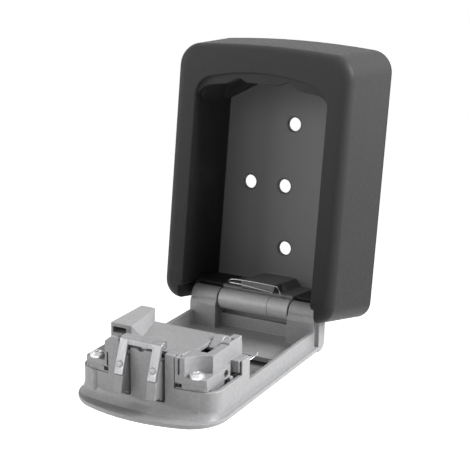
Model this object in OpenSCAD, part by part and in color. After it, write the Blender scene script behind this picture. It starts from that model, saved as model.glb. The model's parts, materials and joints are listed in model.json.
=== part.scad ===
// Combination key safe: a wall case with a hinged door that carries a four dial lock
// Origin: centre of the case's back face. X right, Y into the wall, Z up. Front faces -Y
// The door is drawn shut in its own frame and then swung open about the hinge pin

/* [Case] */
// Width of the case at the wall
case_w = 90.4; // [86:0.2:96]
// Height of the case at the wall
case_h = 123; // [119:0.5:130]
// Depth of the case from the wall to its front face
case_d = 37.8; // [37:0.2:44]
// How far each side leans in from the wall to the front
draft_w = 3.4; // [2.4:0.1:3.8]
// How far the top and the bottom each lean in from the wall to the front
draft_h = 3; // [2:0.1:3.6]
// Radius of the case's upper corners, seen from the front
case_corner = 10; // [8.5:0.5:13]
// Radius of the case's lower corners, seen from the front
case_foot_corner = 8; // [7:0.5:10]
// Radius of the gentle arch of the case's top
case_arch = 420; // [250:10:500]
// Radius of the faint arch of the case's bottom
case_foot_arch = 1800; // [1200:100:3000]
// Radius that rounds the front edge
front_fillet = 4; // [2.5:0.5:5]
// Thickness of the back wall
back_wall = 2.5; // [2:0.1:3.5]
// Width of the rim at each side of the front opening
rim_w = 9.9; // [9:0.1:11]
// Width of the rim above the front opening
rim_top = 11.8; // [11:0.1:13]
// Height of the cavity's floor above the case's lowest edge
floor_h = 10.6; // [10:0.2:12]
// Radius of the opening's arched top
opening_arch = 100; // [80:5:150]
// Radius of the opening's top corners
opening_corner = 9; // [7:0.5:11]

/* [Latch ledge] */
// Distance of the ledge from the front face
ledge_back = 2.3; // [1.8:0.1:2.8]
// Depth of the ledge that the latch hooks behind
ledge_d = 3.9; // [3.5:0.1:4.1]
// Drop of the ledge below the opening's top
ledge_drop = 3.3; // [2.8:0.1:3.8]
// Drop of the tab in the middle of the ledge
tab_drop = 1.4; // [1:0.1:1.8]
// Width of the tab
tab_w = 16; // [12:0.5:18]
// Depth of the tab
tab_d = 2; // [1.6:0.1:2.6]
// Half width of the ledge's level middle
ledge_hw = 12.5; // [12:0.5:14]
// Room between the ledge's sloping ends and the door's tray
ledge_room = 1; // [0.8:0.1:1.2]
// Height of the cavity above the ledge's lower edge, at the back
roof_rise = 2.1; // [1.5:0.1:3]
// Depth of the slanted top corners in front of the back face
slant_d = 12; // [8:0.5:12.5]
// Drop of the slanted top corners at the cavity's sides
slant_drop = 13; // [9:0.5:14]
// Half width of the cavity's top between the slanted corners
slant_hw = 8; // [6:0.5:12]
// Height of the hook's pocket above the ledge's lower edge
hook_pocket_rise = 5; // [4:0.2:6]
// Depth of the hook's pocket behind the ledge
hook_pocket_d = 11; // [10:0.5:12]

/* [Wall screw holes] */
// Diameter of each wall screw hole
wall_hole_d = 6.3; // [5:0.1:7]
// Height of the top hole above the case's centre
hole_top_z = 23.4; // [20:0.2:28]
// Distance between the top and the bottom hole
hole_pitch_z = 57.8; // [50:0.2:62]
// Height of the middle pair of holes above the case's centre
hole_mid_z = -5.5; // [-9:0.5:0]
// Distance of the top and bottom holes from the case's middle, to the right
hole_column_x = 1.2; // [0:0.1:2]
// Distance between the middle pair of holes
hole_pitch_x = 17.8; // [14:0.2:22]
// Distance of the middle pair's centre from the case's middle, to the left
hole_pair_offset = 10.3; // [8:0.1:12]

/* [Hinge] */
// Angle from shut to the open stop
open_deg = 97.5; // [90:0.5:98]
// Distance of the hinge axis behind the case's front face
hinge_back = 13; // [12.6:0.1:13.4]
// Height of the hinge axis above the case's lowest edge
hinge_up = 4.2; // [3.8:0.1:4.6]
// Radius of the door's knuckles and of the case's hinge barrel
barrel_r = 4.7; // [4:0.1:4.9]
// Length of the hinge barrel
barrel_len = 35.6; // [30:0.2:38]
// Diameter of the hinge pin
pin_d = 4; // [3:0.1:4.6]
// Width of the block behind the barrel
block_w = 17; // [14:0.5:20]
// Height of the block above the cavity's floor
block_h = 3.4; // [3:0.1:3.8]
// Diameter of the clip's wire
clip_wire = 0.7; // [0.6:0.1:1]

/* [Door] */
// Thickness of the door's panel and flange
panel_t = 2.3; // [2:0.1:2.8]
// Overlap of the door's flange on the case's rim, at each side
flange_side = 1.4; // [1:0.1:2]
// Overlap of the door's flange on the rim above the opening
flange_top = 3.5; // [2.5:0.1:4]
// Radius of the flange's top corners
flange_corner = 17; // [14:0.5:20]
// Radius of the arch at the flange's top
flange_arch = 70; // [60:5:120]
// How far the flange's front edge is rounded off
flange_round = 1.2; // [0.6:0.1:1.6]
// Radius of the arch at the top of the tray
door_arch = 150; // [120:5:250]
// Distance of the door's heel behind the hinge axis
heel = 2; // [1.4:0.1:2.2]
// Radius that rounds the heel's outer edge
heel_round = 4; // [2.5:0.5:5]
// Depth of the near face of the ear beside the right knuckle, from the hinge axis
ear_t = 4.3; // [3.6:0.1:4.5]
// Thickness of the tray's walls
tub_wall = 1.8; // [1.4:0.1:2.2]
// Height of the tray's side walls above the panel
tub_h = 7; // [6:0.2:8]
// Height of the tray's walls beside the lock
tub_lock_h = 11; // [10.4:0.2:11.6]
// Radius of the tray's top corners
tub_corner = 7; // [5:0.5:9]
// Height of the middle of the end wall, which the latch reaches over
tower_h = 24.4; // [23.6:0.2:25.2]
// Width of each latch slot in the end wall
slot_w = 5.2; // [4.8:0.1:5.6]

/* [Dials] */
// Number of dials
dial_count = 4; // [4:1:4]
// Radius of a dial
dial_r = 11.8; // [11.2:0.1:12.2]
// Gap between neighbouring dials
dial_gap = 2.4; // [2.2:0.1:3]
// How far the dials stand out of the door's front
dial_proud = 1.5; // [1:0.1:1.9]
// Diameter of the dials' axle
axle_d = 3.2; // [2.6:0.1:3.6]
// Distance of the axle from the end wall's face
axle_in = 27.5; // [27:0.1:28]
// Radius of a sleeve inside its dial
sleeve_r = 6.4; // [6:0.1:6.6]
// Radius of a sleeve's gate disc
gate_r = 7.4; // [7:0.1:7.6]
// Thickness of a sleeve's gate disc
gate_t = 1.2; // [1:0.1:1.4]

/* [Lock case] */
// Thickness of the lock case's walls
lock_wall = 1.8; // [1.5:0.1:2]
// Room between the dials and the lock case's cover plate
cover_room = 1.9; // [1.7:0.1:2.4]
// Height of the raised box above the cover plate
box_h = 5.3; // [4.5:0.1:6]
// Radius of the pocket around each screw
screw_pocket_r = 9.4; // [9:0.1:9.8]
// Radius of a screw's head
screw_head_r = 2.9; // [2.4:0.1:3.1]
// Radius of a screw's shank
screw_r = 1.4; // [1.1:0.1:1.6]

/* [Latch] */
// Travel of the latch and the open lever
latch_travel = 5; // [4.8:0.1:5.2]
// How far the catches reach up behind the ledge
hook_bite = 3.2; // [2.8:0.1:3.4]
// Distance of each hook from the middle
hook_x = 7.5; // [7:0.05:8]
// Width of each hook's strip
hook_w = 3.9; // [3.4:0.1:4.2]
// Thickness of the hooks' steel
hook_t = 1.2; // [1:0.1:1.4]
// Wire of the latch springs
spring_wire = 0.4; // [0.3:0.05:0.45]

/* [Front controls] */
// Overlap of the weather shutter past its window, at each side
shutter_lap = 2.8; // [2:0.1:4]
// Height of the weather shutter
shutter_h = 29; // [27:0.5:30]
// Travel of the weather shutter
shutter_travel = 28; // [24:0.5:28]
// Thickness of the weather shutter's plate, outside the dials
shutter_t = 1.3; // [1:0.1:1.8]
// Width of the open lever's thumb piece
lever_w = 28; // [20:1:34]
// Travel of the code change lever
code_travel = 7; // [5:0.5:7.5]

/* [Clearances] */
// Radial clearance of a shaft in its hole
fit = 0.05; // [0.02:0.01:0.1]
// Clearance between parts that slide or swing past each other
slip = 0.3; // [0.2:0.05:0.4]
// Gap between the shut door's flange and the case's front face
seat_gap = 0.2; // [0.1:0.05:0.4]
// Gap between the tray's walls and the opening
tub_gap = 0.55; // [0.4:0.05:0.8]

/* [Hidden] */
$fn = 64;
eps = 0.01;
far = 200;

// Case, seen from the front
front_y = -case_d;
front_hw = case_w / 2 - draft_w;
front_hh = case_h / 2 - draft_h;
open_hw = front_hw - rim_w;
open_top = front_hh - rim_top;
floor_z = -case_h / 2 + floor_h;
ledge_z = open_top - ledge_drop;
tab_z = ledge_z - tab_drop;
ledge_front_y = front_y + ledge_back;
ledge_rear_y = ledge_front_y + ledge_d;
roof_z = ledge_z + roof_rise;
roof_arch = 80;
roof_corner = 13;
barrel_hl = barrel_len / 2;

// Hinge axis, and the door's frame: z is the distance from the axis, y points into the case
hinge_y = front_y + hinge_back;
hinge_z = -case_h / 2 + hinge_up;
knuckle_clear = barrel_r + slip + 0.1;

// Ends of the wire clip's long run
clip_x = [-14.1, 10.4];

// Door, with n measured from the axis into the case
flange_in = -hinge_back - seat_gap;
panel_out = flange_in - panel_t;
heel_t = -heel;
knuckle_t = barrel_r + 1.3;
ear_clear = slip + 0.1;
lip_r = barrel_r + slip + 0.1;
lip_t = 0.3 - barrel_r;
lip_wall = 1.4;
lip_in = barrel_hl + slip;
lip_hw = lip_in + lip_wall;
flange_hw = open_hw + flange_side;
flange_end = open_top + flange_top - hinge_z;
tub_hw = open_hw - tub_gap;
tub_in = tub_hw - tub_wall;
tub_top = flange_in + tub_h;
tub_lock_top = flange_in + tub_lock_h;
tower_gap = 1.2;
tower_t = tab_z - hinge_z - tower_gap;
tower_top = flange_in + tower_h;
tower_wall = 2.6;
shoulder_n = tower_top - 4.6;
slot_bottom = flange_in + 4.3;
slot_x = hook_x + 0.25;

// Dials and sleeves
axle_t = tower_t - axle_in;
axle_n = panel_out + dial_r - dial_proud;
lock_gap = 3.05;
lock_hw = tub_in - lock_gap;
lock_in = lock_hw - lock_wall;
tower_hw = lock_hw - 10.6;
tower_edge = tower_hw - 1.6;
stack_room = 11.4;
dial_pitch = (2 * lock_hw - stack_room) / dial_count;
dial_w = dial_pitch - dial_gap;
stack_x = 0.4;
gate_depth = 2.5;
gate_w = 3.2;
function dial_x(i) = stack_x + (i - (dial_count - 1) / 2) * dial_pitch;
function gap_x(i) = dial_x(i) + dial_pitch / 2;
stack_left = dial_x(0) - dial_w / 2;
stack_right = gap_x(dial_count - 1) + gate_t / 2;

// Lock case, along the door from the dials' axle
cover_in = axle_n + dial_r + cover_room;
cover_top = cover_in + lock_wall;
cover_rear = axle_t - 4.4;
rear_wall_t = axle_t - dial_r - 2.2;
rear_shoulder = cover_top - 5.8;
lock_end = tower_t - tower_wall - 0.1;
foot_top = tub_lock_top + 5.1;
foot_step = tub_lock_top + 2.6;
foot_rear = axle_t + 5.4;
foot_hw = lock_hw + 1.1;
pocket_x = lock_hw + 1.7;
pocket_t = tower_t - 0.7;
slit_w = 0.7;
thin_wall = 1;
left_wall_x = stack_left - slip - thin_wall;
foot_t = axle_t + dial_r + slip + thin_wall;
foot_x = tower_hw + slit_w + thin_wall;
cheek_end = tower_hw + 4.6;
box_top = cover_top + box_h;
box_rear = axle_t - 5.8;
box_near = tower_t - 10.1;
low_top = flange_in + 16.7;
screw_x = lock_hw - 3.6;
screw_t = tower_t - 3.8;
boss_w = 3.8;
boss_end = [axle_t - 6, axle_t + 4.2];
boss_x = lock_hw - 1.9;
boss_t = axle_t - 1;
boss_top = cover_top + 0.8;
boss_hole_r = 1;
corner_x = lock_hw - 4.5;
code_slot = [lock_hw - 8.9, lock_hw - 3.9];
code_slot_t = [axle_t - 3.5, axle_t + 15.4];
code_end_room = 2.5;
tab_len = code_slot_t[1] - code_slot_t[0] - code_travel - code_end_room;

// Latch
ledge_t = ledge_z - hinge_z;
catch_t = ledge_t + hook_bite;
catch_n = ledge_rear_y - hinge_y + slip + 0.1;
hook_end_t = catch_t - 0.8;
hook_end_n = catch_n + 7.4;
bar_n = [tower_top + 1.2, tower_top + 3.9];
bar_t = [tower_t - 4.2, tower_t - 0.6];
bar_hw = hook_x + hook_w / 2;
lug_bottom = slot_bottom + 0.8;
rivet_r = 1.2;
slide_t = [axle_t + dial_r + slip + latch_travel + 0.3, tower_t - tower_wall - slip];
slide_n = [flange_in + 1.2, cover_in - 2];
slide_hw = tower_hw - 0.5;
wing_hw = lock_in - slip;
wing_n = [flange_in + 2.2, flange_in + 6.7];
tooth_w = 1.2;
spring_x = lock_in - 1.4;
spring_r = 1.3;
spring_n = flange_in + 4.2;
spring_seat_t = axle_t + 4.4;
spring_seat_w = lock_in - stack_right - slip;

// Front controls
neck_hw = 6;
neck_t = [slide_t[0] + 1.6, slide_t[1] - 1.6];
lever_t = [slide_t[0] - 2.4, slide_t[1] + 3];
lever_thick = 3.8;
shutter_top = axle_t - 19.6;
shutter_bottom = shutter_top - shutter_h;
window_hw = lock_in - 0.5;
shutter_hw = window_hw + shutter_lap;
window_t = [shutter_bottom + 5, shutter_top - 0.2];
stud_x = window_hw - 1;
stud_t = [window_t[0] + 4.5, window_t[1] - 6];
stud_r = 0.8;
stud_head_r = 1.1;
stud_top = flange_in + 1.2;
shutter_room = dial_proud + slip;
post_w = 3.3;
post_x = tub_in + 0.9;
post_t = [axle_t - 4, axle_t + 2.5];
post_top = flange_in + 10.3;
shelf_bottom = tub_lock_top + 1;
shelf_top = shelf_bottom + 5.1;
peg_r = 1.2;
peg_n = flange_in + 10.6;
peg_t = axle_t + 6.6;
side_hole_r = 1.7;
shelf_t = [post_t[0] - 0.6, post_t[1] + 0.8];
wire_d = 0.5;
wire_gap = 1.1;
wire_x = tub_in - 0.4;
wire_n = shelf_top - 2.3;
wire_end = shelf_t[0] + 1;
wire_reach = 9.4;

// A block between two corners
module block(x, y, z) {
    translate([x[0], y[0], z[0]])
        cube([x[1] - x[0], y[1] - y[0], z[1] - z[0]]);
}

// A round bar along X, Y or Z
module rod_x(r, x, y, z) {
    translate([x[0], y, z]) rotate([0, 90, 0]) cylinder(r = r, h = x[1] - x[0]);
}
module rod_y(r, x, y, z) {
    translate([x, y[1], z]) rotate([90, 0, 0]) cylinder(r = r, h = y[1] - y[0]);
}
module rod_z(r, x, y, z) {
    translate([x, y, z[0]]) cylinder(r = r, h = z[1] - z[0]);
}

// An outline of x and z points, drawn out along Y
module slab(points, y) {
    translate([0, y[1], 0]) rotate([90, 0, 0])
        linear_extrude(y[1] - y[0]) polygon(points);
}

// A section of y and z points, drawn out along X
module section(points, x) {
    translate([x[0], 0, 0]) rotate([90, 0, 90])
        linear_extrude(x[1] - x[0]) polygon(points);
}

// An outline of x and y points, drawn out along Z
module outline(points, z) {
    translate([0, 0, z[0]]) linear_extrude(z[1] - z[0]) polygon(points);
}

function arc(cx, cz, r, a0, a1, steps = 8) =
    [for (i = [0:steps]) let (a = a0 + (a1 - a0) * i / steps) [cx + r * cos(a), cz + r * sin(a)]];

// An arched line from right to left, with round corners that run smoothly into the arch
function dome(hw, top, r, arch, steps = 8) = let (
    w = hw - r,
    z = top - arch + sqrt(pow(arch - r, 2) - w * w),
    a = acos(w / (arch - r)))
    concat(arc(w, z, r, 0, a),
        [for (i = [1:steps - 1]) let (b = a + (180 - 2 * a) * i / steps)
            [arch * cos(b), top - arch + arch * sin(b)]],
        arc(-w, z, r, 180 - a, 180));

// An outline with an arched top and square lower corners
function arched(hw, top, bottom, r, arch) = concat([[-hw, bottom], [hw, bottom]], dome(hw, top, r, arch));

// The case's outline, inset from its full size, with its arched top and its flatter bottom
function case_outline(hw, hh, inset = 0) = concat(
    dome(hw - inset, hh - inset, case_corner - inset / 2, case_arch),
    [for (p = dome(hw - inset, hh - inset, case_foot_corner - inset / 2, case_foot_arch)) -p]);

// Moves what is drawn for the shut door to the open stop
module in_door() {
    translate([0, hinge_y, hinge_z]) rotate([open_deg, 0, 0]) children();
}

// Cross points of a tube of six sides along a path, each ring square to the path
function unit(v) = v / norm(v);
function heading(p, i) = unit(p[min(i + 1, len(p) - 1)] - p[max(i - 1, 0)]);
function side_of(h) = unit(cross(h, abs(h[2]) < 0.9 ? [0, 0, 1] : [0, 1, 0]));
function ring(p, i, r, sides) = let (h = heading(p, i), a = side_of(h), b = cross(h, a))
    [for (k = [0:sides - 1]) p[i] + r * (a * cos(360 * k / sides) + b * sin(360 * k / sides))];
module tube(p, r, sides = 6) {
    last = (len(p) - 1) * sides;
    points = [for (i = [0:len(p) - 1]) each ring(p, i, r, sides)];
    walls = [for (i = [0:len(p) - 2], k = [0:sides - 1])
        let (a = i * sides + k, b = i * sides + (k + 1) % sides)
        each [[a, a + sides, b], [b, a + sides, b + sides]]];
    ends = [for (k = [1:sides - 2]) each [[0, k, k + 1], [last, last + k + 1, last + k]]];
    polyhedron(points, concat(walls, ends), convexity = 4);
}

// A coil along Z from the origin, and the least gap between its turns
function coil(r, length, turns) = [for (i = [0:turns * 8])
    [r * cos(45 * i), r * sin(45 * i), length * i / (turns * 8)]];
function coil_gap(p, wire) = min([for (i = [0:len(p) - 1], k = [i + 6:len(p) - 1])
    if (k < len(p)) norm(p[i] - p[k])]) - wire;

// The case's outer form: a leaning block with a rounded front edge
module case_form() {
    steps = 4;
    lean_w = draft_w / case_d;
    lean_h = draft_h / case_d;
    hull() {
        slab(case_outline(case_w / 2, case_h / 2), [-eps, 0]);
        for (i = [0:steps]) {
            a = 90 * i / steps;
            back = front_fillet * (1 - sin(a));
            inset = front_fillet * (1 - cos(a));
            y = front_y + back;
            slab(case_outline(front_hw + lean_w * back, front_hh + lean_h * back, inset), [y, y + eps]);
        }
    }
}

// The outline of the tab in the middle of the ledge
function tab_points() = [[-tab_w / 2 - 3, ledge_z + 1], [-tab_w / 2 - 3, ledge_z], [-tab_w / 2, tab_z],
    [tab_w / 2, tab_z], [tab_w / 2 + 3, ledge_z], [tab_w / 2 + 3, ledge_z + 1]];

// The space below the ledge: level in the middle, and over the door's tray towards the sides
module under_ledge() {
    y = [ledge_front_y - eps, ledge_rear_y + 1];
    drop = 4;
    difference() {
        union() {
            slab(arched(tub_hw + ledge_room, tower_t + hinge_z + ledge_room, floor_z,
                tub_corner + ledge_room, door_arch + ledge_room), y);
            slab([[-ledge_hw - 2 * drop, ledge_z - drop], [ledge_hw + 2 * drop, ledge_z - drop],
                [ledge_hw, ledge_z], [-ledge_hw, ledge_z]], y);
        }
        slab(tab_points(), [ledge_front_y, ledge_front_y + tab_d]);
    }
}

// The space for keys, with its latch ledge and the pocket that the hooks enter
module key_space() {
    intersection() {
        slab(arched(open_hw, open_top, floor_z, opening_corner, opening_arch),
            [front_y - 1, ledge_rear_y]);
        union() {
            block([-far, far], [front_y - 2, ledge_front_y], [-far, far]);
            under_ledge();
        }
    }
    slab(arched(open_hw, roof_z, floor_z, roof_corner, roof_arch), [ledge_rear_y - eps, -slant_d]);
    slab([[-open_hw, floor_z], [open_hw, floor_z], [open_hw, roof_z - slant_drop], [slant_hw, roof_z],
        [-slant_hw, roof_z], [-open_hw, roof_z - slant_drop]], [-slant_d - eps, -back_wall]);
    block([-bar_hw - 2.4, bar_hw + 2.4], [ledge_rear_y - eps, ledge_rear_y + hook_pocket_d],
        [roof_z - 8, ledge_z + hook_pocket_rise]);
}

// The block and ramp that stand on the cavity's floor behind the barrel
module hinge_block() {
    top = floor_z + block_h;
    ramp_y = hinge_y + 7.5;
    section([[hinge_y, floor_z - 5], [hinge_y - 0.6, hinge_z + barrel_r + 0.2], [hinge_y - 0.6, top],
        [-back_wall, top], [-back_wall, floor_z - 5]], [-block_w / 2, block_w / 2]);
    section([[hinge_y, floor_z - 5], [hinge_y, hinge_z + barrel_r], [ramp_y, floor_z],
        [ramp_y, floor_z - 5]], [-barrel_hl, barrel_hl]);
    for (side = [-1, 1])
        translate([side * block_w / 2, 0, 0]) mirror([side < 0 ? 1 : 0, 0, 0])
            slab([[-1, floor_z - 1], [3, floor_z - 1], [3, floor_z], [0, top], [-1, top]],
                [ramp_y, -back_wall]);
}

module case_shell() {
    countersink_r = wall_hole_d / 2 + 0.5;
    cut_hw = open_hw + slip;
    ear_hw = flange_hw + ear_clear;
    heel_y = hinge_y + 1.9;
    color([0.2, 0.2, 0.21]) difference() {
        case_form();
        difference() {
            key_space();
            hinge_block();
        }
        block([-cut_hw, cut_hw], [front_y - 1, hinge_y], [-far, floor_z + eps]);
        block([barrel_hl, cut_hw], [hinge_y - eps, heel_y], [-far, floor_z + eps]);
        block([-cut_hw, -barrel_hl], [hinge_y - eps, heel_y], [-far, floor_z + eps]);
        block([-barrel_hl - eps, barrel_hl + eps], [hinge_y - eps, heel_y], [-far, hinge_z]);
        block([-ear_hw, ear_hw], [front_y - 1, hinge_y], [-far, hinge_z + barrel_r + ear_clear]);
        rod_x(knuckle_clear, [-ear_hw, -barrel_hl], hinge_y, hinge_z);
        rod_x(knuckle_clear, [barrel_hl, ear_hw], hinge_y, hinge_z);
        rod_x(barrel_r + fit, [-barrel_hl - eps, barrel_hl + eps], hinge_y, hinge_z);
        for (p = wall_holes()) {
            rod_y(wall_hole_d / 2, p[0], [-back_wall - 1, 1], p[1]);
            rod_y(countersink_r, p[0], [-back_wall - 1, -back_wall + 0.4], p[1]);
        }
    }
}

function wall_holes() = [[hole_column_x, hole_top_z], [hole_column_x, hole_top_z - hole_pitch_z],
    [-hole_pair_offset - hole_pitch_x / 2, hole_mid_z],
    [-hole_pair_offset + hole_pitch_x / 2, hole_mid_z]];

module hinge_barrel() {
    color([0.55, 0.55, 0.56]) difference() {
        rod_x(barrel_r, [-barrel_hl + slip, barrel_hl - slip], hinge_y, hinge_z);
        rod_x(pin_d / 2 + fit, [-barrel_hl, barrel_hl], hinge_y, hinge_z);
    }
}

module hinge_pin() {
    color([0.75, 0.75, 0.76]) rod_x(pin_d / 2, [-open_hw + 0.2, open_hw - 0.2], hinge_y, hinge_z);
}

// The bent wire clip at the front of the block
module wire_clip() {
    r = clip_wire / 2;
    y = hinge_y - 1.1 - r;
    z = floor_z + block_h;
    low = hinge_z + barrel_r + r + 0.2;
    path = [[clip_x[1] + 1.9, y, low], [clip_x[1] + 1.6, y, z - 2.6], [clip_x[1], y, z - 0.1],
        [0, y, z + 0.2], [clip_x[0] + 7.8, y, z + 0.1], [clip_x[0] + 2.9, y, z],
        [clip_x[0] + 0.8, y, z - 0.4], [clip_x[0], y - 0.4, z - 1.1], [clip_x[0] + 1.2, y - 0.7, z - 1.6],
        [clip_x[0] + 6.6, y - 0.8, z - 1.7], [0, y - 1, z - 2.2], [clip_x[1] - 1.4, y - 1.2, z - 2.9]];
    color([0.85, 0.85, 0.86]) tube(path, r, 8);
}

// The door: panel and flange, tray walls, end wall with latch slots, knuckles and screw bosses
function door_outline(inset = 0) =
    arched(flange_hw - inset, flange_end - inset, heel_t, flange_corner - inset, flange_arch);
function tub_outline(inset = 0) =
    arched(tub_hw - inset, tower_t - inset, heel_t, tub_corner - inset, door_arch);

module knuckle(side) {
    x = side > 0 ? [barrel_hl + slip, tub_hw] : [-tub_hw, -barrel_hl - slip];
    rod_x(barrel_r, x, 0, 0);
    section([[flange_in, heel_t], [0, heel_t], [0, barrel_r], [-1.4, knuckle_t - 0.4],
        [-2.6, knuckle_t], [flange_in, knuckle_t + 0.2]], x);
}

// The tray's outline near its end, where it flares out to meet the flange
module flare(rise, reach) {
    slab(arched(tub_hw, tower_t + reach, axle_t, tub_corner, door_arch),
        [flange_in + rise - eps, flange_in + rise]);
}

// What rounds the outer edge of the heel, or of its lip, over a stretch of x
module heel_cut(x, t) {
    slack = 1;
    difference() {
        block(x, [panel_out - slack, panel_out + heel_round], [t - slack, t + heel_round]);
        rod_x(heel_round, [x[0] - slack, x[1] + slack], panel_out + heel_round, t + heel_round);
    }
}

// The lip of the heel, which closes the gap under the barrel
module lip() {
    top = 0.4 - lip_r;
    base = tub_top - 2.2;
    section([[panel_out, lip_t], [top, lip_t], [top, lip_t + lip_wall], [base, lip_t + lip_wall],
        [base, heel_t + 1], [panel_out, heel_t + 1]], [-lip_hw, lip_hw]);
    for (side = [-1, 1])
        block(side > 0 ? [lip_in, lip_hw] : [-lip_hw, -lip_in], [panel_out, top], [lip_t, heel_t + 1]);
}

// The ear that carries the flange's side up beside the right knuckle
module ear() {
    x = [tub_hw - eps, flange_hw];
    rod_x(barrel_r - 0.2, x, 0, 0);
    block(x, [panel_out, 0], [heel_t, ear_t]);
}

module door_body() {
    hull() {
        slab(door_outline(), [panel_out + flange_round, flange_in]);
        slab(door_outline(flange_round * 0.3), [panel_out + flange_round * 0.3, flange_in]);
        slab(door_outline(flange_round), [panel_out, flange_in]);
    }
    difference() {
        union() {
            slab(tub_outline(), [flange_in - eps, tub_lock_top]);
            hull() {
                flare(3.7, 0);
                flare(1.7, 1);
            }
            hull() {
                flare(1.7, 1);
                flare(0, 3.4);
            }
        }
        slab(tub_outline(tub_wall), [flange_in, far]);
        block([-far, far], [tub_top, far], [-far, post_t[0]]);
        block([-far, far], [flange_in, far], [-far, barrel_r]);
    }
    block([-tub_hw, tub_hw], [flange_in - eps, tub_top - 1.2], [heel_t, heel_t + 2]);
    block([-tub_hw, -tub_in], [flange_in - eps, tub_top], [heel_t, barrel_r + 1]);
    block([tub_in, tub_hw], [flange_in - eps, tub_top], [heel_t, barrel_r + 1]);
    for (side = [-1, 1]) {
        knuckle(side);
        translate([side * (tub_hw - post_w), 0, 0]) mirror([side < 0 ? 1 : 0, 0, 0])
            block([0, post_w], [tub_top - 1, post_top - slip], post_t);
        rod_y(screw_r + 1.8, side * screw_x, [flange_in - eps, tub_lock_top], screw_t - 0.6);
    }
    block([post_x, tub_hw], [tub_top - 1, shelf_top], post_t);
    intersection() {
        tower();
        slab(tub_outline(), [flange_in - 1, far]);
    }
}

// The middle of the end wall: its left post is higher, with a shoulder over the lock case's slit
module tower() {
    t = [tower_t - tower_wall, tower_t + eps];
    shoulder = tower_hw + 1.7;
    block([-tower_hw, tower_edge], [flange_in - eps, tower_top], t);
    outline([[-shoulder, shoulder_n], [-slot_x, shoulder_n], [-slot_x, tower_top + 1.6],
        [-tower_hw + 1.6, tower_top + 2.6], [-shoulder, tower_top]], t);
}

module door_shell() {
    window_w = dial_w + 2 * slip;
    chord = sqrt(pow(dial_r, 2) - pow(flange_in - axle_n, 2)) + slip + 0.1;
    color([0.62, 0.62, 0.63]) in_door() difference() {
        union() {
            door_body();
            lip();
            ear();
        }
        heel_cut([-far, -lip_hw], heel_t);
        heel_cut([lip_hw, far], heel_t);
        heel_cut([-lip_hw, lip_hw], lip_t);
        rod_x(lip_r, [-lip_in, lip_in], 0, 0);
        rod_x(pin_d / 2 + fit, [-far, far], 0, 0);
        for (i = [0:dial_count - 1])
            block([dial_x(i) - window_w / 2, dial_x(i) + window_w / 2], [panel_out - 1, flange_in + 1],
                [axle_t - chord, axle_t + chord]);
        block([-window_hw, window_hw], [panel_out - 1, flange_in + 1], window_t);
        for (side = [-1, 1]) {
            block([side * stud_x - stud_r - slip, side * stud_x + stud_r + slip],
                [panel_out - 1, flange_in + 1],
                [window_t[0], stud_t[1] + shutter_travel + stud_r + slip]);
            block([side * slot_x - slot_w / 2, side * slot_x + slot_w / 2], [slot_bottom, far],
                [tower_t - tower_wall - 1, tower_t + 5]);
            rod_y(screw_r - 0.1, side * screw_x, [flange_in + 1, far], screw_t);
        }
        block([-neck_hw - slip, neck_hw + slip], [panel_out - 1, flange_in + 1],
            [neck_t[0] - latch_travel - slip, neck_t[1] + slip]);
        rod_z(1.6, 0, tower_top + 0.7, [tower_t - 6, tower_t + 6]);
    }
}

// The lock case: cover plate, raised box, boss, screw pockets and foot
module lock_outer() {
    profile = [[flange_in, rear_wall_t], [rear_shoulder, rear_wall_t], [cover_top, cover_rear],
        [cover_top, lock_end], [flange_in, lock_end]];
    difference() {
        section(profile, [-lock_hw, lock_hw]);
        corner_cut(0);
        block([-far, left_wall_x], [low_top, far], [-far, foot_t]);
        block([-far, -foot_x], [foot_top, far], [foot_t, far]);
        block([-far, far], [-far, tub_lock_top], [tower_t - 8.4, far]);
    }
    intersection() {
        union() {
            slab(tub_outline(0.4), [tub_lock_top, foot_step]);
            slab(tub_outline(), [foot_step - eps, far]);
        }
        union() {
            block([-foot_hw, foot_hw], [-far, foot_top], [foot_rear, far]);
            block([-foot_x, -tower_hw - slit_w], [foot_top - 1, shoulder_n - slip], [lock_end - 1, far]);
            block([tower_edge + slip, cheek_end], [foot_top - 1, cover_top + 0.6], [lock_end - 1, far]);
        }
    }
    raised_box();
    block([lock_hw - boss_w, lock_hw], [low_top, boss_top], boss_end);
    block([lock_hw - lock_wall, post_x - slip], [shelf_bottom, shelf_top], shelf_t);
    rod_x(peg_r, [lock_hw - lock_wall, lock_hw + 2.4], peg_n, peg_t);
    section([[cover_top - eps, axle_t + 15.4], [cover_top + 0.9, lock_end], [cover_top - eps, lock_end]],
        [bar_hw + slip, tower_hw]);
}

// The raised box, whose right side spreads out towards the end wall
module raised_box() {
    function plan(spread) = [[left_wall_x, box_rear], [left_wall_x + 6.5, box_rear],
        [left_wall_x + 9.1 + spread, box_near - 4.5], [left_wall_x + 9.7, box_near], [left_wall_x, box_near]];
    hull() {
        slab(plan(0), [box_top - eps, box_top]);
        slab(plan(3), [cover_top - lock_wall, cover_top]);
    }
}

// What cuts off the lock case's rear right corner, to a plan moved in by the given amount
module corner_cut(inset) {
    slab([[lock_hw - inset, boss_end[0] - inset / 2], [corner_x - inset, rear_wall_t - 1],
        [far, rear_wall_t - 1], [far, boss_end[0] - inset / 2]], [-far, far]);
}

module lock_inner() {
    slope = lock_wall * 0.75;
    profile = [[flange_in - 1, rear_wall_t + lock_wall], [rear_shoulder - slope, rear_wall_t + lock_wall],
        [cover_in, cover_rear + slope], [cover_in, far], [flange_in - 1, far]];
    difference() {
        section(profile, [-lock_in, lock_in]);
        corner_cut(lock_wall);
        block([-far, left_wall_x + thin_wall], [low_top - lock_wall, far], [-far, far]);
        for (side = [-1, 1])
            rod_y(screw_pocket_r + lock_wall, side * pocket_x, [tub_lock_top, far], pocket_t);
        block([-far, -foot_x + lock_wall], [tub_lock_top, far], [foot_t - thin_wall, far]);
        block([tower_edge, far], [tub_lock_top - 1, far], [lock_end + 0.1, far]);
    }
}

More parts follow.
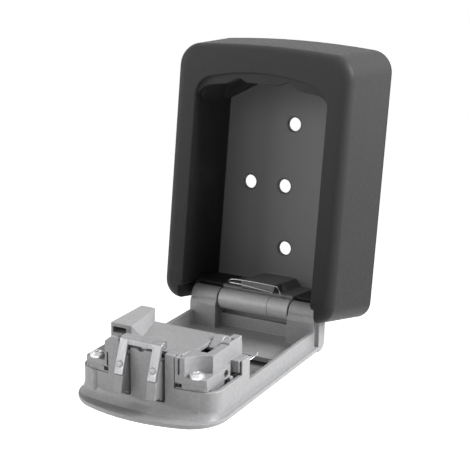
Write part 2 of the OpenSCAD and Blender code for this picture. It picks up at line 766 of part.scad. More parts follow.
module lock_case() {
    side_cut_t = [axle_t - 6.1, axle_t + 3.9];
    color([0.66, 0.66, 0.67]) in_door() {
        difference() {
            lock_outer();
            lock_inner();
            for (side = [-1, 1]) {
                rod_y(screw_pocket_r, side * pocket_x, [foot_top, cover_top + 1], pocket_t);
                rod_y(screw_r + fit, side * screw_x, [-far, far], screw_t);
                block([side * hook_x - hook_w / 2 - slip, side * hook_x + hook_w / 2 + slip],
                    [cover_in - 1, cover_top + 1], [lock_end - 2.6, far]);
                block([side * stud_x - stud_head_r - slip, side * stud_x + stud_head_r + slip],
                    [flange_in - 1, stud_top + slip], [rear_wall_t - 1, boss_end[0] + lock_wall]);
            }
            block([-tower_hw - slit_w, -tower_hw], [foot_step + 0.5, far], [lock_end - 0.6, far]);
            block([tower_hw, tower_hw + slit_w], [foot_top + 0.8, far], [lock_end - 0.6, far]);
            block([-tower_hw - 2.4, -tower_hw], [foot_step - 1.9, foot_step], [lock_end - 0.6, far]);
            block([tower_hw - 2, tower_hw + 1.4], [foot_step - 2, foot_step - 0.5], [lock_end - 0.6, far]);
            block([-tower_hw, tower_edge + slip], [tub_lock_top - 1, foot_top + eps], [axle_t + 12, far]);
            rod_x(axle_d / 2 + fit, [-far, far], axle_n, axle_t);
            block(code_slot, [cover_in - 1, cover_top + 1], code_slot_t);
            rod_y(boss_hole_r, boss_x, [boss_top - 2, far], boss_t);
            block([left_wall_x + 1.1, left_wall_x + 7.2], [cover_top + 1.3, cover_top + 3.7],
                [box_near - 9, far]);
            block([lock_hw - lock_wall - 1, far], [tub_top - 1, post_top - slip], side_cut_t);
            rod_x(side_hole_r, [lock_hw - lock_wall - 1, far], peg_n + 2.6, peg_t + 2.4);
            block([wire_x - wire_d, wire_x + wire_d], [wire_n - wire_gap - wire_d, wire_n + wire_d],
                [shelf_t[0] - 1, wire_end + slip]);
        }
        for (side = [-1, 1])
            translate([side * (lock_in - spring_seat_w / 2), 0, 0])
                block([-spring_seat_w / 2, spring_seat_w / 2], [spring_n - 1.6, spring_n + 3.4],
                    [spring_seat_t - 1.4, spring_seat_t]);
    }
}

// The pan head screws that hold the lock case to the door
module case_screws() {
    head = 2;
    color([0.85, 0.85, 0.86]) in_door() for (side = [-1, 1]) difference() {
        union() {
            rod_y(screw_r - 0.12, side * screw_x, [flange_in + 1.4, foot_top + eps], screw_t);
            rod_y(screw_head_r, side * screw_x, [foot_top, foot_top + 1.2], screw_t);
            translate([side * screw_x, foot_top + 1.2 - eps, screw_t]) rotate([-90, 0, 0])
                cylinder(r1 = screw_head_r, r2 = screw_head_r - 1.1, h = head - 1.2);
        }
        block([side * screw_x - 1.5, side * screw_x + 1.5], [foot_top + head - 0.8, far],
            [screw_t - 0.3, screw_t + 0.3]);
        block([side * screw_x - 0.3, side * screw_x + 0.3], [foot_top + head - 0.8, far],
            [screw_t - 1.5, screw_t + 1.5]);
    }
}

// A number dial with ten finger grooves and a keyway for its sleeve
module dial(i) {
    x = [dial_x(i) - dial_w / 2, dial_x(i) + dial_w / 2];
    color([0.12, 0.12, 0.12]) in_door() difference() {
        rod_x(dial_r, x, axle_n, axle_t);
        rod_x(sleeve_r + fit, [x[0] - 1, x[1] + 1], axle_n, axle_t);
        for (k = [0:9])
            translate([0, axle_n, axle_t]) rotate([36 * k, 0, 0])
                rod_x(0.9, [x[0] - 1, x[1] + 1], 0, dial_r + 0.35);
        block([x[0] - 1, x[1] + 1], [axle_n - 0.8, axle_n + 0.8], [axle_t, axle_t + sleeve_r + 1]);
    }
}

// A sleeve with a key for its dial and a gate disc beside it
module sleeve(i) {
    x = [dial_x(i) - dial_w / 2, gap_x(i) - gate_t / 2];
    color([0.8, 0.68, 0.4]) in_door() difference() {
        union() {
            rod_x(sleeve_r, x, axle_n, axle_t);
            rod_x(gate_r, [x[1] - eps, x[1] + gate_t], axle_n, axle_t);
            block([x[0], x[0] + dial_w], [axle_n - 0.75, axle_n + 0.75],
                [axle_t + sleeve_r - 1, axle_t + sleeve_r + 0.8]);
        }
        rod_x(axle_d / 2 + fit, [x[0] - 1, x[1] + 3], axle_n, axle_t);
        block([x[1] + eps, x[1] + 3], [axle_n - gate_w / 2, axle_n + gate_w / 2],
            [axle_t + gate_r - gate_depth, axle_t + gate_r + 1]);
    }
}

module dial_axle() {
    color([0.75, 0.75, 0.76]) in_door()
        rod_x(axle_d / 2, [-lock_hw - 1, lock_hw + 1.2], axle_n, axle_t);
}

module axle_spring() {
    length = stack_left + lock_in - 2 * slip - spring_wire;
    path = coil(axle_d / 2 + 0.9, length, 4);
    echo("least gap in the axle spring", coil_gap(path, spring_wire));
    color([0.75, 0.75, 0.76]) in_door()
        translate([-lock_in + slip + spring_wire / 2, axle_n, axle_t]) rotate([0, 90, 0])
            tube(path, spring_wire / 2);
}

module thrust_washer() {
    x = [stack_right + 0.15, lock_in - 0.1];
    color([0.8, 0.68, 0.4]) in_door() difference() {
        rod_x(axle_d / 2 + 1.1, x, axle_n, axle_t);
        rod_x(axle_d / 2 + fit, [x[0] - 1, x[1] + 1], axle_n, axle_t);
    }
}

// The leaf spring that clicks the dials round: a plate under the cover with a finger on each dial
module detent_spring() {
    t = 0.4;
    n = cover_in - t;
    tip = [axle_n + dial_r * cos(50) + slip + 0.1, axle_t + dial_r * sin(50) + 0.2];
    root_t = axle_t + 3;
    color([0.8, 0.8, 0.81]) in_door() {
        block([dial_x(0) - 2, code_slot[0] - 1.4], [n, n + t], [axle_t - 3, root_t]);
        for (i = [0:dial_count - 2])
            section([[n, root_t - eps], [n + t, root_t - eps], [tip[0] + t, tip[1]], tip],
                [dial_x(i) - 1.5, dial_x(i) + 1.5]);
        section([[n, root_t - eps], [n + t, root_t - eps], [tip[0] + t, tip[1]], tip],
            [code_slot[0] - 4.4, code_slot[0] - 1.4]);
    }
}

// The latch slide: a block across the lock with teeth for the gates and lugs for the hooks
module latch_slide() {
    reach = slide_t[0] - axle_t - gate_r - slip - latch_travel;
    color([0.6, 0.6, 0.61]) in_door() difference() {
        union() {
            block([-slide_hw, slide_hw], slide_n, slide_t);
            block([-wing_hw, wing_hw], wing_n, [slide_t[0], slide_t[0] + 2.1]);
            for (i = [0:dial_count - 1])
                block([gap_x(i) - tooth_w / 2, gap_x(i) + tooth_w / 2],
                    [wing_n[0], axle_n + gate_w / 2 - 0.3], [slide_t[0] - reach, slide_t[0] + eps]);
            for (side = [-1, 1])
                section(lug_points(), [side * hook_x - hook_w / 2, side * hook_x + hook_w / 2]);
        }
        block([-neck_hw - 0.15, neck_hw + 0.15], [-far, slide_n[0] + 2],
            [neck_t[0] - 0.15, neck_t[1] + 0.15]);
        for (side = [-1, 1])
            rod_z(spring_r - spring_wire - 0.1 + 0.6, side * spring_x, spring_n,
                [slide_t[0] - 1, slide_t[0] + 1]);
    }
}

// A lug's section: its catch sits behind the ledge, and the steel hook lies in its slanted face
function lug_points() = let (
    n = hook_end_n - 0.15,
    under = hook_end_t - hook_t * 1.1 - 0.1,
    lean = (under - bar_t[1]) / (bar_n[0] - n),
    top = cover_in - slip)
    [[lug_bottom, slide_t[1] - 1], [lug_bottom, tower_t + 0.3], [catch_n, tower_t + 1.9],
    [catch_n, catch_t - 0.2], [catch_n + 0.2, catch_t], [n, hook_end_t - 0.4], [n, under],
    [top, under - lean * (top - n) - 0.1], [top, slide_t[1] - 1]];

// Moves a rivet to its place in the slanted face of a hook
module at_rivet(side) {
    rise = bar_n[1] - 0.7 - hook_end_n - 0.2;
    run = hook_end_t - bar_t[1] - 0.8;
    t = hook_end_t - run * 3.8 / rise - 0.3;
    translate([side * hook_x, hook_end_n + 4, t]) rotate([-atan(run / rise), 0, 0]) children();
}

// The bright steel latch: two slanted hooks joined by a bar over the end wall
module latch_hook() {
    fold = [[bar_n[1], bar_t[1] - 0.6], [bar_n[1] - 0.5, bar_t[1] - 0.4], [bar_n[1] - 0.3, bar_t[1] + 0.1],
        [bar_n[1] - 0.7, bar_t[1] + 0.8]];
    strip = concat([[bar_n[0], bar_t[0] + 1], [bar_n[1], bar_t[0] + 1]], fold, [
        [hook_end_n + 0.2, hook_end_t], [hook_end_n, hook_end_t - hook_t * 1.1],
        [bar_n[0], bar_t[1]]]);
    color([0.85, 0.85, 0.86]) in_door() {
        for (side = [-1, 1]) difference() {
            section(strip, [side * hook_x - hook_w / 2, side * hook_x + hook_w / 2]);
            at_rivet(side) cylinder(r = rivet_r + fit, h = 2);
        }
        section(concat([[bar_n[0], bar_t[0]], [bar_n[1], bar_t[0]]], fold, [[bar_n[0], bar_t[1] + 1.1]]),
            [-bar_hw + eps, bar_hw - eps]);
    }
}

// The two rivets that hold the hooks to the slide's lugs
module hook_rivets() {
    color([0.8, 0.8, 0.81]) in_door() for (side = [-1, 1])
        at_rivet(side) cylinder(r = rivet_r, h = 0.45);
}

module latch_spring(side) {
    length = slide_t[0] + 1 - spring_seat_t - 2 * slip - spring_wire;
    path = coil(spring_r - spring_wire / 2, length, 9);
    echo("least gap in a latch spring", coil_gap(path, spring_wire));
    color([0.75, 0.75, 0.76]) in_door()
        translate([side * spring_x, spring_n, spring_seat_t + slip + spring_wire / 2])
            tube(path, spring_wire / 2);
}

// The open lever: a thumb piece on the door's front, with a neck into the slide
module open_lever() {
    front = panel_out - 0.2;
    color([0.1, 0.1, 0.1]) in_door() {
        difference() {
            section([[front, lever_t[0]], [front, lever_t[1]], [front - lever_thick + 1.4, lever_t[1]],
                [front - 1.6, lever_t[0] + 6], [front - lever_thick, lever_t[0] + 1.5],
                [front - lever_thick, lever_t[0]]], [-lever_w / 2, lever_w / 2]);
            for (k = [0:2])
                rod_x(0.45, [-lever_w / 2 + 2, lever_w / 2 - 2], front - lever_thick,
                    lever_t[0] + 0.8 + k * 1.1);
        }
        block([-neck_hw, neck_hw], [front - eps, slide_n[0] + 1.8], neck_t);
    }
}

// The weather shutter on the door's front, with snap studs that run in the door's slots
module weather_shutter() {
    rail = panel_out - 0.2;
    inside = panel_out - shutter_room;
    face = inside - shutter_t;
    room_hw = stack_right + slip;
    color([0.1, 0.1, 0.1]) in_door() {
        difference() {
            block([-shutter_hw, shutter_hw], [face, rail], [shutter_bottom, shutter_top]);
            block([-room_hw, room_hw], [inside, far], [shutter_bottom + 1.5, far]);
            for (k = [0:4])
                rod_x(0.5, [-shutter_hw + 8, shutter_hw - 8], face, shutter_bottom + 3 + 1.8 * k);
        }
        for (side = [-1, 1], t = stud_t) {
            rod_y(stud_r, side * stud_x, [rail - eps, flange_in + slip], t);
            rod_y(stud_head_r, side * stud_x, [flange_in + slip - eps, stud_top], t);
        }
    }
}

// The code change lever, which slides in the cover plate's slot
module code_lever() {
    foot_n = [cover_in - 1.1, cover_in - 0.2];
    x = [code_slot[0] + slip, code_slot[1] - slip];
    tab_t = [code_slot_t[0] + slip, code_slot_t[0] + slip + tab_len];
    color([0.75, 0.75, 0.76]) in_door() {
        section([[foot_n[1] - eps, tab_t[0]], [cover_top + 0.8, tab_t[0]],
            [cover_top + 1.8, tab_t[0] + 4], [cover_in + 0.2, tab_t[1]], [foot_n[1] - eps, tab_t[1]]], x);
        block([x[0] - 1, x[1] + 1], foot_n, tab_t);
    }
}

// The hairpin of spring wire that reaches over the tray beside the lock
module return_wire() {
    r = wire_gap / 2;
    tip = shelf_t[0] - wire_reach;
    low = wire_n - wire_gap;
    bend = [for (a = [0:-30:-180]) [wire_x, wire_n - r + r * cos(a), tip + r * sin(a)]];
    path = concat([[wire_x, wire_n, wire_end]], bend, [[wire_x, low, wire_end]]);
    color([0.85, 0.85, 0.86]) in_door() tube(path, wire_d / 2);
}

case_shell();
hinge_barrel();
hinge_pin();
wire_clip();
door_shell();
lock_case();
case_screws();
dial(0);  // dial_1
dial(1);  // dial_2
dial(2);  // dial_3
dial(3);  // dial_4
sleeve(0);  // sleeve_1
sleeve(1);  // sleeve_2
sleeve(2);  // sleeve_3
sleeve(3);  // sleeve_4
dial_axle();
axle_spring();
thrust_washer();
detent_spring();
latch_slide();
latch_hook();
hook_rivets();
latch_spring(-1);  // latch_spring_left
latch_spring(1);  // latch_spring_right
open_lever();
weather_shutter();
code_lever();
return_wire();
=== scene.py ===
import json
import math

import bmesh
import bpy
from mathutils import Matrix, Vector


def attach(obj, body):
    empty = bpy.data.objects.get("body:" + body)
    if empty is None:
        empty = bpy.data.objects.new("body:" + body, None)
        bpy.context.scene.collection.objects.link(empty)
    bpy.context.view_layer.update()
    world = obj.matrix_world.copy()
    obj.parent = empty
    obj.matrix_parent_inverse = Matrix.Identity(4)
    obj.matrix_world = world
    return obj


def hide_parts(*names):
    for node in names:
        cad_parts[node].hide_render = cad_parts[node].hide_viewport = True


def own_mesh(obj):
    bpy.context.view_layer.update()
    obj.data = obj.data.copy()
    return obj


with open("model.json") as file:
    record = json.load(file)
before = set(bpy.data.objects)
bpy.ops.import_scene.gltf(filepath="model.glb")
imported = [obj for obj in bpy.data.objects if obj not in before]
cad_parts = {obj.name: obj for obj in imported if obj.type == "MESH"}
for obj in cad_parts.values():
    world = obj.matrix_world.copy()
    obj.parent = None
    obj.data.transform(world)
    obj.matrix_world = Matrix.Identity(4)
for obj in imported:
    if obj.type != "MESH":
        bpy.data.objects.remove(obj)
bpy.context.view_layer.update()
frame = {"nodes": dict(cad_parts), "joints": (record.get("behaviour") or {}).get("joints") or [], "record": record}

MM = 0.001
BODIES = frame["record"]["behaviour"]["bodies"]
SUBPARTS = frame["record"]["subparts"]
JOINTS = {joint["name"]: joint for joint in frame["joints"]}

# The door's own frame: x along the hinge pin, n from the pin into the case, t along the door
OPEN_ANGLE = math.radians(JOINTS["door_hinge"]["range_deg"][1])


def door_step(x, n, t):
    """A step in the door's own frame, in mm, as the row frame has it with the door open."""
    return Matrix.Rotation(OPEN_ANGLE, 3, "X") @ Vector((x, n, t)) * MM


def link(thing):
    bpy.context.scene.collection.objects.link(thing)
    return thing


# Camera, solved from the case's corners in the photograph
PHOTO_SIZE = 470
FOCAL_PIXELS = 1295.5
SENSOR = 36.0
CAMERA_AT = Vector((250.64, -540.79, 72.34)) * MM
CAMERA_AZIMUTH = math.radians(27.11)
CAMERA_ELEVATION = math.radians(9.78)
CAMERA_ROLL = math.radians(4.27)
CLIP_START, CLIP_END = 0.01, 20


def make_camera():
    data = bpy.data.cameras.new("camera")
    data.sensor_width = SENSOR
    data.lens = FOCAL_PIXELS * SENSOR / PHOTO_SIZE
    data.clip_start, data.clip_end = CLIP_START, CLIP_END
    camera = link(bpy.data.objects.new("camera", data))
    az, el, roll = CAMERA_AZIMUTH, CAMERA_ELEVATION, CAMERA_ROLL
    back = Vector((math.sin(az) * math.cos(el), -math.cos(az) * math.cos(el), math.sin(el)))
    level = Vector((math.cos(az), math.sin(az), 0))
    upright = back.cross(level)
    right = level * math.cos(roll) + upright * math.sin(roll)
    up = upright * math.cos(roll) - level * math.sin(roll)
    turn = Matrix((right, up, back)).transposed()
    camera.matrix_world = Matrix.Translation(CAMERA_AT) @ turn.to_4x4()
    bpy.context.scene.camera = camera


# Studio: each lamp has its place, its width and height, and its power
AIM = (0, -0.05, -0.02)
LAMPS = {
    "right": ((0.60, 0.05, 0.45), (0.4, 0.5), 13.0),
    "front": ((-0.15, -1.3, 0.45), (0.8, 0.6), 2.6),
    "left": ((-0.95, -0.80, 0.15), (0.9, 0.7), 7.4),
    "left_high": ((-0.9, -0.4, 0.8), (0.6, 0.6), 1.5),
}
AMBIENT = 0.12
FLOOR_HALF, FLOOR_Z = 4.0, -0.30
FLOOR_MATT = 0.8
FLOOR_ROUGHNESS = 0.9
FLOOR_GLOW = 0.85


def grey(value):
    return value, value, value, 1


def area_light(name, place, size, power):
    data = bpy.data.lights.new(name, "AREA")
    data.shape = "RECTANGLE"
    data.size, data.size_y = size
    data.energy = power
    lamp = link(bpy.data.objects.new(name, data))
    lamp.location = place
    lamp.rotation_mode = "QUATERNION"
    lamp.rotation_quaternion = (Vector(AIM) - Vector(place)).to_track_quat("-Z", "Y")


def any_ray(tree, *kinds):
    """One for a ray of any of these kinds, and zero for the others."""
    path = tree.nodes.new("ShaderNodeLightPath")
    seen = path.outputs[kinds[0]]
    for kind in kinds[1:]:
        either = tree.nodes.new("ShaderNodeMath")
        either.operation = "MAXIMUM"
        tree.links.new(seen, either.inputs[0])
        tree.links.new(path.outputs[kind], either.inputs[1])
        seen = either.outputs[0]
    return seen


def make_world():
    """White to the camera, in reflections and through glass, and a soft ambient light to other rays."""
    world = bpy.data.worlds.new("studio")
    bpy.context.scene.world = world
    world.use_nodes = True
    tree = world.node_tree
    ambient = tree.nodes["Background"]
    ambient.inputs["Color"].default_value = grey(1)
    ambient.inputs["Strength"].default_value = AMBIENT
    white = tree.nodes.new("ShaderNodeBackground")
    white.inputs["Color"].default_value = grey(1)
    white.inputs["Strength"].default_value = 1
    mix = tree.nodes.new("ShaderNodeMixShader")
    seen = any_ray(tree, "Is Camera Ray", "Is Glossy Ray", "Is Transmission Ray")
    tree.links.new(seen, mix.inputs[0])
    tree.links.new(ambient.outputs[0], mix.inputs[1])
    tree.links.new(white.outputs[0], mix.inputs[2])
    tree.links.new(mix.outputs[0], tree.nodes["World Output"].inputs["Surface"])


def floor_material():
    """Pale and matt, with a glow for the camera, so that only a shadow on it shows."""
    material = bpy.data.materials.new("floor")
    material.use_nodes = True
    tree = material.node_tree
    matt = tree.nodes["Principled BSDF"]
    matt.inputs["Base Color"].default_value = grey(FLOOR_MATT)
    matt.inputs["Roughness"].default_value = FLOOR_ROUGHNESS
    glow = tree.nodes.new("ShaderNodeEmission")
    glow.inputs["Color"].default_value = grey(FLOOR_GLOW)
    tree.links.new(any_ray(tree, "Is Camera Ray", "Is Glossy Ray"), glow.inputs["Strength"])
    both = tree.nodes.new("ShaderNodeAddShader")
    tree.links.new(matt.outputs[0], both.inputs[0])
    tree.links.new(glow.outputs[0], both.inputs[1])
    tree.links.new(both.outputs[0], tree.nodes["Material Output"].inputs["Surface"])
    return material


def make_studio():
    make_world()
    mesh = bpy.data.meshes.new("floor")
    corners = [(-1, -1), (1, -1), (1, 1), (-1, 1)]
    mesh.from_pydata([(x * FLOOR_HALF, y * FLOOR_HALF, FLOOR_Z) for x, y in corners], [], [(0, 1, 2, 3)])
    mesh.materials.append(floor_material())
    floor = link(bpy.data.objects.new("floor", mesh))
    for name, (place, size, power) in LAMPS.items():
        area_light(name, place, size, power)
    bpy.context.scene.view_settings.view_transform = "Standard"


# Materials: noise hardly leaves the span from NOISE_LOW to NOISE_HIGH
NOISE_LOW, NOISE_HIGH = 0.3, 0.7


class Surface:
    """A material's tree with the few building steps that every finish here shares."""

    def __init__(self, name, colour, roughness, metallic=0.0, specular=0.5):
        self.material = bpy.data.materials.new(name)
        self.material.use_nodes = True
        self.nodes = self.material.node_tree.nodes
        self.links = self.material.node_tree.links
        self.shader = self.nodes["Principled BSDF"]
        self.colour = colour
        self.roughness = roughness
        self.normal = None
        self.shader.inputs["Base Color"].default_value = (*colour, 1)
        self.shader.inputs["Roughness"].default_value = roughness
        self.shader.inputs["Metallic"].default_value = metallic
        self.shader.inputs["Specular IOR Level"].default_value = specular
        self.place = self.nodes.new("ShaderNodeTexCoord").outputs["Object"]

    def noise(self, size_mm, detail=2.0, stretch=(1, 1, 1)):
        """Noise whose lumps are about the given size, drawn out along an axis by stretch."""
        scale = self.nodes.new("ShaderNodeMapping")
        scale.inputs["Scale"].default_value = [1 / (size_mm * MM * s) for s in stretch]
        self.links.new(self.place, scale.inputs["Vector"])
        noise = self.nodes.new("ShaderNodeTexNoise")
        noise.inputs["Scale"].default_value = 1
        noise.inputs["Detail"].default_value = detail
        self.links.new(scale.outputs[0], noise.inputs["Vector"])
        return noise.outputs["Fac"]

    def fit(self, value, source, target):
        """The value, with the source's two ends moved onto the target's."""
        fit = self.nodes.new("ShaderNodeMapRange")
        fit.inputs["From Min"].default_value = source[0]
        fit.inputs["From Max"].default_value = source[1]
        fit.inputs["To Min"].default_value = target[0]
        fit.inputs["To Max"].default_value = target[1]
        self.links.new(value, fit.inputs["Value"])
        return fit.outputs["Result"]

    def spread(self, noise, low, high):
        """The noise, fitted from its own span onto low to high."""
        return self.fit(noise, (NOISE_LOW, NOISE_HIGH), (low, high))

    def product(self, a, b):
        product = self.nodes.new("ShaderNodeMath")
        product.operation = "MULTIPLY"
        self.links.new(a, product.inputs[0])
        self.links.new(b, product.inputs[1])
        return product.outputs[0]

    def split(self):
        """The place's x, y and z."""
        split = self.nodes.new("ShaderNodeSeparateXYZ")
        self.links.new(self.place, split.inputs[0])
        return split.outputs

    def within(self, middle_mm, half_mm):
        """One inside a box of the row frame, and zero outside it."""
        inside = None
        for value, middle, half in zip(self.split(), middle_mm, half_mm):
            near = self.nodes.new("ShaderNodeMath")
            near.operation = "COMPARE"
            near.inputs[1].default_value = middle * MM
            near.inputs[2].default_value = half * MM
            self.links.new(value, near.inputs[0])
            inside = self.product(inside, near.outputs[0]) if inside else near.outputs[0]
        return inside

    def height(self, low_mm, high_mm):
        """Zero at the lower height and one at the upper."""
        return self.fit(self.split()[2], (low_mm * MM, high_mm * MM), (0, 1))

    def tinted(self, noise, share):
        """The base colour, varied by the noise by a share of itself."""
        ramp = self.nodes.new("ShaderNodeValToRGB")
        dark, light = ramp.color_ramp.elements
        dark.position, light.position = NOISE_LOW, NOISE_HIGH
        dark.color = (*(c * (1 - share) for c in self.colour), 1)
        light.color = (*(min(1, c * (1 + share)) for c in self.colour), 1)
        self.links.new(noise, ramp.inputs[0])
        return ramp.outputs["Color"]

    def recoloured(self, colour, amount, other):
        """The given colour, turned into another one by an amount from zero to one."""
        mix = self.nodes.new("ShaderNodeMix")
        mix.data_type = "RGBA"
        self.links.new(amount, mix.inputs["Factor"])
        self.links.new(colour, mix.inputs["A"])
        mix.inputs["B"].default_value = (*other, 1)
        return mix.outputs["Result"]

    def paint(self, colour):
        self.links.new(colour, self.shader.inputs["Base Color"])

    def roughen(self, noise, less, more):
        """The roughness, varied by the noise: at most that much less and that much more."""
        varied = self.spread(noise, self.roughness - less, self.roughness + more)
        self.links.new(varied, self.shader.inputs["Roughness"])

    def bump(self, height, depth_mm):
        """A bump over those made before it."""
        bump = self.nodes.new("ShaderNodeBump")
        bump.inputs["Strength"].default_value = 1
        bump.inputs["Distance"].default_value = depth_mm * MM
        self.links.new(height, bump.inputs["Height"])
        if self.normal:
            self.links.new(self.normal, bump.inputs["Normal"])
        self.normal = bump.outputs["Normal"]
        self.links.new(self.normal, self.shader.inputs["Normal"])


# The case's paint, darkest low down and paler upwards as painted light, and the boxes where it is paler over the
# back plate and the hinge block, by middle and half size in mm
PAINT_LOW = (0.018, 0.018, 0.019)
PAINT_LIT_TOP = (0.036, 0.036, 0.037)
PAINTED_LIGHT_SPAN = (-60, 60)
BACK_PLATE = (0.21, 0.21, 0.21)
BACK_PLATE_BOX = (0, -2.5, 0), (32.5, 0.9, 56)
HINGE_BLOCK = (0.19, 0.19, 0.19)
HINGE_BLOCK_BOX = (0, -14, -50.5), (18, 11.4, 4.2)


def powder_coat():
    """Dark paint, paler upwards as painted light, and paler still over the back plate and the hinge block."""
    look = Surface("case_paint", PAINT_LOW, 0.5, specular=0.14)
    paint = look.tinted(look.noise(0.9, detail=3), share=0.10)
    # Painted light: the paint turns paler upwards, as if lit from above
    paint = look.recoloured(paint, look.height(*PAINTED_LIGHT_SPAN), PAINT_LIT_TOP)
    paint = look.recoloured(paint, look.within(*HINGE_BLOCK_BOX), HINGE_BLOCK)
    paint = look.recoloured(paint, look.within(*BACK_PLATE_BOX), BACK_PLATE)
    look.paint(paint)
    look.roughen(look.noise(1.6), less=0.06, more=0.06)
    look.bump(look.noise(0.35), depth_mm=0.05)
    look.bump(look.noise(1.3, detail=1), depth_mm=0.05)
    return look.material


# Cast metal, its edges paler in a broken line, and the dark seam round the hinge barrel, in mm
EDGE_POINTINESS = (0.53, 0.60)
EDGE_PALER = 1.5
EDGE_MOST = 0.5
EDGE_PATCH = 2.5
EDGE_PATCH_SHARES = (0.2, 1.0)
SEAM_AT, SEAM_HALF = 7.2, 0.16
SEAM_DARKER = 0.3
FAR = 500


def cast_zinc(name, colour, roughness=0.45, seam_at=None):
    look = Surface(name, colour, roughness, metallic=0.1, specular=0.3)
    paint = look.tinted(look.noise(1.4, detail=4), share=0.07)
    pointiness = look.nodes.new("ShaderNodeNewGeometry").outputs["Pointiness"]
    # Edges paler in broken patches, by pointiness and noise
    edges = look.fit(pointiness, EDGE_POINTINESS, (0, EDGE_MOST))
    paler_edges = look.product(edges, look.spread(look.noise(EDGE_PATCH), *EDGE_PATCH_SHARES))
    paint = look.recoloured(paint, paler_edges, [min(1, c * EDGE_PALER) for c in colour])
    if seam_at is not None:
        seam = look.within((seam_at, 0, 0), (SEAM_HALF, FAR, FAR))
        paint = look.recoloured(paint, seam, [c * SEAM_DARKER for c in colour])
    look.paint(paint)
    look.roughen(look.noise(3.0), less=0.06, more=0.08)
    look.bump(look.noise(0.25), depth_mm=0.02)
    look.bump(look.noise(2.2, detail=1), depth_mm=0.04)
    return look.material


def steel(name, colour, roughness, grain=(1, 1, 1), metallic=0.7):
    look = Surface(name, colour, roughness, metallic=metallic)
    look.paint(look.tinted(look.noise(1.0, detail=3, stretch=grain), share=0.12))
    look.roughen(look.noise(0.4, detail=3, stretch=grain), less=0.07, more=0.10)
    look.bump(look.noise(0.18, stretch=grain), depth_mm=0.006)
    return look.material


def moulded_plastic(name, colour):
    look = Surface(name, colour, 0.5, specular=0.4)
    look.paint(look.tinted(look.noise(1.2, detail=3), share=0.12))
    look.roughen(look.noise(2.0), less=0.08, more=0.06)
    look.bump(look.noise(0.22), depth_mm=0.018)
    return look.material


# Copies of the CAD nodes, with smooth faces and rounded edges. Sizes are in mm and angles in degrees
WELD = 0.001
CREASE = 32
WIRE_CREASE = 62
ROUNDING_STEPS = 2


def body_of_node(name):
    return next(body for body, nodes in BODIES.items() if name in nodes)


def slot_of_node(name):
    return next(part["material_slot"] for part in SUBPARTS if part["node"] == name)


def smoothed(node, material, crease):
    """A copy that stands for the CAD node, shaded smoothly between its sharp edges."""
    mesh = frame["nodes"][node].data.copy()
    mesh.name = node + "_look"
    form = bmesh.new()
    form.from_mesh(mesh)
    bmesh.ops.remove_doubles(form, verts=form.verts, dist=WELD * MM)
    for face in form.faces:
        face.smooth = True
    form.to_mesh(mesh)
    form.free()
    mesh.set_sharp_from_angle(angle=math.radians(crease))
    mesh.materials.clear()
    mesh.materials.append(material)
    piece = link(bpy.data.objects.new(node + "_look", mesh))
    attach(piece, body_of_node(node))
    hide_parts(node)
    return piece


def rounded(node, material, width_mm):
    """The smoothed copy with its edges rounded as well."""
    piece = smoothed(node, material, CREASE)
    rounding = piece.modifiers.new("rounding", "BEVEL")
    rounding.width = width_mm * MM
    rounding.segments = ROUNDING_STEPS
    rounding.limit_method = "ANGLE"
    rounding.angle_limit = math.radians(CREASE)
    rounding.use_clamp_overlap = False
    rounding.loop_slide = False
    rounding.miter_outer = "MITER_ARC"
    flat = piece.modifiers.new("flat faces", "WEIGHTED_NORMAL")
    flat.keep_sharp = True


def latch_spring(node, material):
    piece = smoothed(node, material, CREASE)
    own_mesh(piece)


# Digits on the dials, from Blender's own font, bent round the rim. Sizes are in mm and angles in degrees
DIALS = 4
DIAL_R = 11.8
DIGITS = 10
DIGIT_H = 3.6
DIGIT_RAISED = 0.1
DIGIT_SUNK = 0.25
DIGIT_START = 90
FONT_DIGIT_H = 0.72
CURVE_STEPS = 3
BENDS = 5


def flat_digit(number):
    """A digit's solid form in mm about its middle: x across, y up, z out of its face."""
    curve = bpy.data.curves.new("digit", "FONT")
    curve.body = str(number)
    curve.align_x, curve.align_y = "CENTER", "CENTER"
    curve.size = DIGIT_H / FONT_DIGIT_H
    curve.extrude = (DIGIT_RAISED + DIGIT_SUNK) / 2
    curve.resolution_u = CURVE_STEPS
    holder = link(bpy.data.objects.new("digit", curve))
    mesh = bpy.data.meshes.new_from_object(holder.evaluated_get(bpy.context.evaluated_depsgraph_get()))
    form = bmesh.new()
    form.from_mesh(mesh)
    bmesh.ops.remove_doubles(form, verts=form.verts, dist=WELD)
    middle = sum((v.co for v in form.verts), Vector()) / len(form.verts)
    low, high = (pick(v.co.y for v in form.verts) for pick in (min, max))
    bmesh.ops.translate(form, verts=form.verts, vec=(-middle.x, -(low + high) / 2, 0))
    for step in range(1, BENDS):
        height = DIGIT_H * (step / BENDS - 0.5)
        bmesh.ops.bisect_plane(form, geom=form.verts[:] + form.edges[:] + form.faces[:],
                               plane_co=(0, height, 0), plane_no=(0, 1, 0))
    bpy.data.objects.remove(holder)
    bpy.data.curves.remove(curve)
    bpy.data.meshes.remove(mesh)
    return form


def add_digits(dial, forms, material):
    """The ten digits of one dial, each upright when its face points out of the shut door."""
    centre = Vector(JOINTS[f"dial_{dial}_turn"]["pos_m"])
    whole = bmesh.new()
    for number, form in enumerate(forms):
        angle = math.radians(DIGIT_START + number * 360 / DIGITS)
        made = {}
        for vert in form.verts:
            radius = DIAL_R + vert.co.z + (DIGIT_RAISED - DIGIT_SUNK) / 2
            turn = angle - vert.co.y / DIAL_R
            step = door_step(vert.co.x, -radius * math.sin(turn), radius * math.cos(turn))
            made[vert] = whole.verts.new(centre + step)
        for face in form.faces:
            whole.faces.new([made[vert] for vert in face.verts])
    name = f"dial_{dial}_digits"
    mesh = bpy.data.meshes.new(name)
    whole.to_mesh(mesh)
    whole.free()
    mesh.materials.append(material)
    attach(link(bpy.data.objects.new(name, mesh)), body_of_node(f"dial_{dial}"))


make_camera()
make_studio()

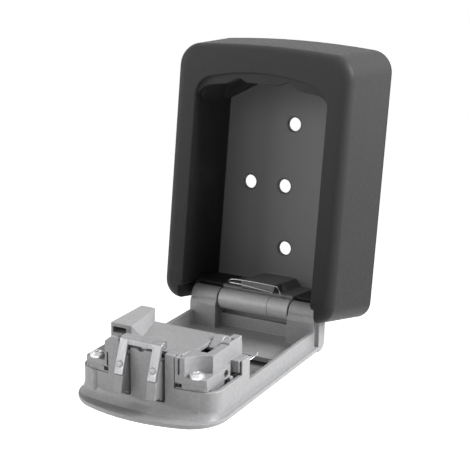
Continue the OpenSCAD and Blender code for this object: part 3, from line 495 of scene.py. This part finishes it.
# One finish for each material slot of the record
ZINC = (0.28, 0.28, 0.285)
GROUND_STEEL = (0.55, 0.55, 0.56)
SPRUNG_STEEL = (0.60, 0.60, 0.62)
BLACK = (0.02, 0.02, 0.022)
FINISHES = {
    "case_paint": powder_coat(),
    "barrel_zinc": cast_zinc("barrel_zinc", (0.42, 0.42, 0.425), roughness=0.38, seam_at=SEAM_AT),
    "door_zinc": cast_zinc("door_zinc", ZINC),
    "lock_zinc": cast_zinc("lock_zinc", ZINC),
    "slide_zinc": cast_zinc("slide_zinc", (0.27, 0.27, 0.275)),
    "hook_steel": steel("hook_steel", (0.31, 0.31, 0.32), 0.36, grain=(1, 6, 6)),
    "clip_steel": steel("clip_steel", (0.34, 0.34, 0.35), 0.25),
    "wire_steel": steel("wire_steel", (0.42, 0.42, 0.43), 0.25),
    "screw_steel": steel("screw_steel", (0.66, 0.66, 0.67), 0.28),
    "rivet_steel": steel("rivet_steel", (0.26, 0.26, 0.27), 0.4),
    "pin_steel": steel("pin_steel", GROUND_STEEL, 0.30, grain=(8, 1, 1)),
    "axle_steel": steel("axle_steel", GROUND_STEEL, 0.28, grain=(8, 1, 1)),
    "spring_steel": steel("spring_steel", SPRUNG_STEEL, 0.25),
    "detent_steel": steel("detent_steel", SPRUNG_STEEL, 0.30, grain=(6, 1, 1)),
    "code_steel": steel("code_steel", (0.30, 0.30, 0.31), 0.45, metallic=0.2),
    "sleeve_brass": steel("sleeve_brass", (0.70, 0.52, 0.25), 0.30, grain=(1, 6, 6)),
    "washer_brass": steel("washer_brass", (0.42, 0.36, 0.25), 0.45),
    "dial_plastic": moulded_plastic("dial_plastic", BLACK),
    "lever_plastic": moulded_plastic("lever_plastic", BLACK),
    "shutter_plastic": moulded_plastic("shutter_plastic", (0.20, 0.20, 0.202)),
}

# How each node is dressed: its edges' rounding in mm, its side as a latch spring, or smooth alone
ROUNDING = {
    "case_shell": 0.5, "door_shell": 0.25, "lock_case": 0.22, "latch_slide": 0.2, "latch_hook": 0.22,
    "hinge_barrel": 0.3, "open_lever": 0.35, "weather_shutter": 0.35, "code_lever": 0.3,
    "case_screws": 0.12, "hook_rivets": 0.15,
    **{f"dial_{dial}": 0.25 for dial in range(1, DIALS + 1)},
}
LATCH_SPRINGS = {"latch_spring_left": -1, "latch_spring_right": 1}
SMOOTH = ("wire_clip", "return_wire", "axle_spring", "hinge_pin", "dial_axle")

for node, solid in frame["nodes"].items():
    material = FINISHES[slot_of_node(node)]
    if node in ROUNDING:
        rounded(node, material, ROUNDING[node])
    elif node in LATCH_SPRINGS:
        latch_spring(node, material)
    elif node in SMOOTH:
        smoothed(node, material, WIRE_CREASE)
    else:
        solid.data.materials.clear()
        solid.data.materials.append(material)

white_ink = moulded_plastic("digit_white", (0.75, 0.75, 0.74))
forms = [flat_digit(number) for number in range(DIGITS)]
for dial in range(1, DIALS + 1):
    add_digits(dial, forms, white_ink)
for form in forms:
    form.free()
